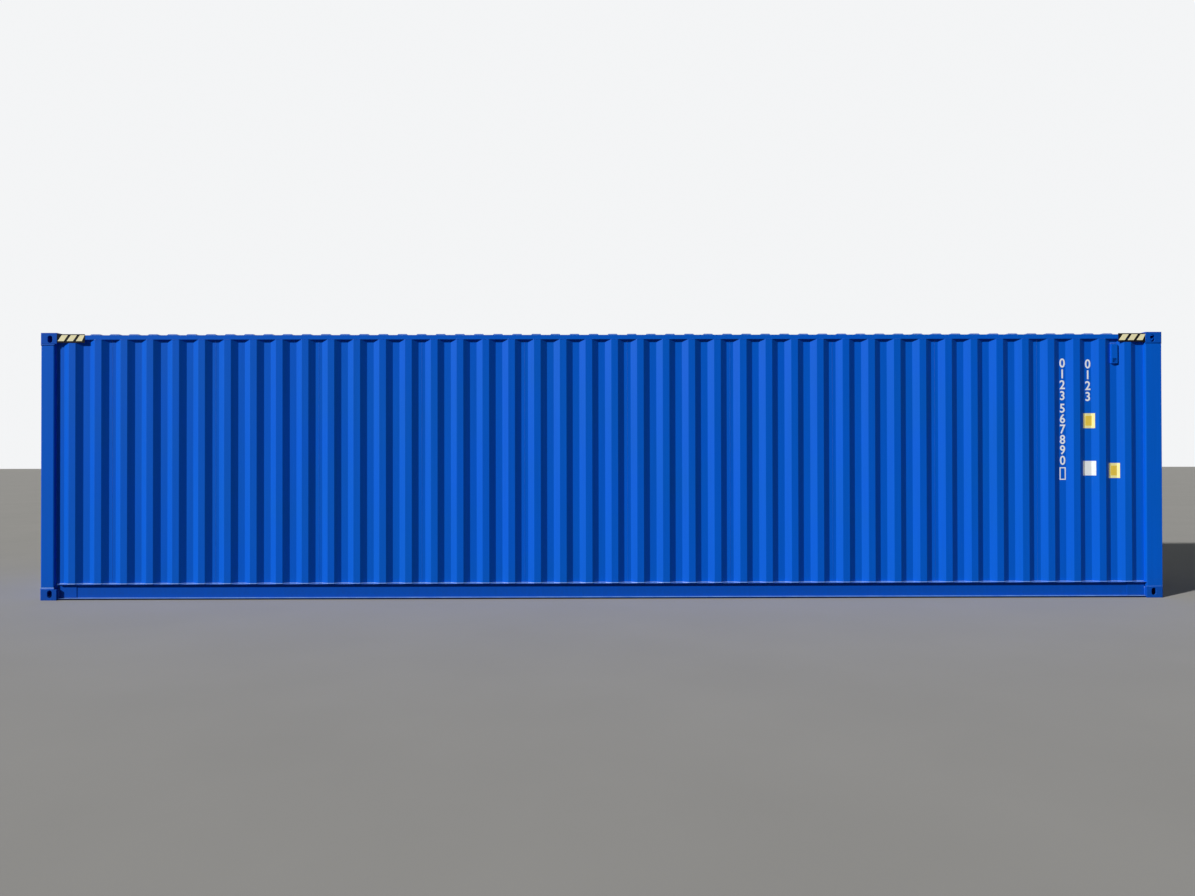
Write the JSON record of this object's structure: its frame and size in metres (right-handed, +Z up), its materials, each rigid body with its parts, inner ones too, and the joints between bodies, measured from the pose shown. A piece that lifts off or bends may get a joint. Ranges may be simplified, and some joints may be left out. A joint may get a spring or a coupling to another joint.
{
  "type": "shipping container",
  "caption": "High-cube dry freight container in blue paint, with corrugated walls, a stamped roof and closed double doors",
  "frame": {"origin": "middle of the footprint, on the plane of the bottom corner castings' undersides", "axes": "+X along the length towards the doors, +Y across towards the right side as seen from the doors, +Z up; the pictured side faces -Y"},
  "size_m": [12.192, 2.438, 2.896],
  "materials": {
    "blue_paint": "semi-gloss container enamel",
    "galvanised_steel": "dull zinc coating",
    "rubber": "matt black extruded rubber",
    "plywood": "sealed hardwood plywood"
  },
  "bodies": {
    "root": {"casting_front_left_bottom": "blue_paint", "casting_front_right_bottom": "blue_paint", "casting_door_left_bottom": "blue_paint", "casting_door_right_bottom": "blue_paint", "casting_front_left_top": "blue_paint", "casting_front_right_top": "blue_paint", "casting_door_left_top": "blue_paint", "casting_door_right_top": "blue_paint", "front_post_left": "blue_paint", "front_post_right": "blue_paint", "door_post_left": "blue_paint", "door_post_right": "blue_paint", "top_rail_left": "blue_paint", "top_rail_right": "blue_paint", "bottom_rail_left": "blue_paint", "bottom_rail_right": "blue_paint", "top_rail_plates": "blue_paint", "front_header": "blue_paint", "front_sill": "blue_paint", "door_header": "blue_paint", "door_sill": "blue_paint", "left_side_wall": "blue_paint", "right_side_wall": "blue_paint", "front_wall": "blue_paint", "roof_panel": "blue_paint", "roof_end_plates": "blue_paint", "floor_boards": "plywood", "crossmembers": "blue_paint", "outriggers": "blue_paint", "tunnel_bows": "blue_paint", "tunnel_plate": "blue_paint", "left_door_frame": "blue_paint", "right_door_frame": "blue_paint", "left_door_panel": "blue_paint", "right_door_panel": "blue_paint", "door_gaskets": "rubber", "left_door_lock_rods": "galvanised_steel", "right_door_lock_rods": "galvanised_steel", "left_door_guides": "galvanised_steel", "right_door_guides": "galvanised_steel", "left_door_handles": "galvanised_steel", "right_door_handles": "galvanised_steel", "door_keepers": "galvanised_steel", "left_door_hinges": "galvanised_steel", "right_door_hinges": "galvanised_steel", "ventilators": "blue_paint"}
  },
  "joints": []
}
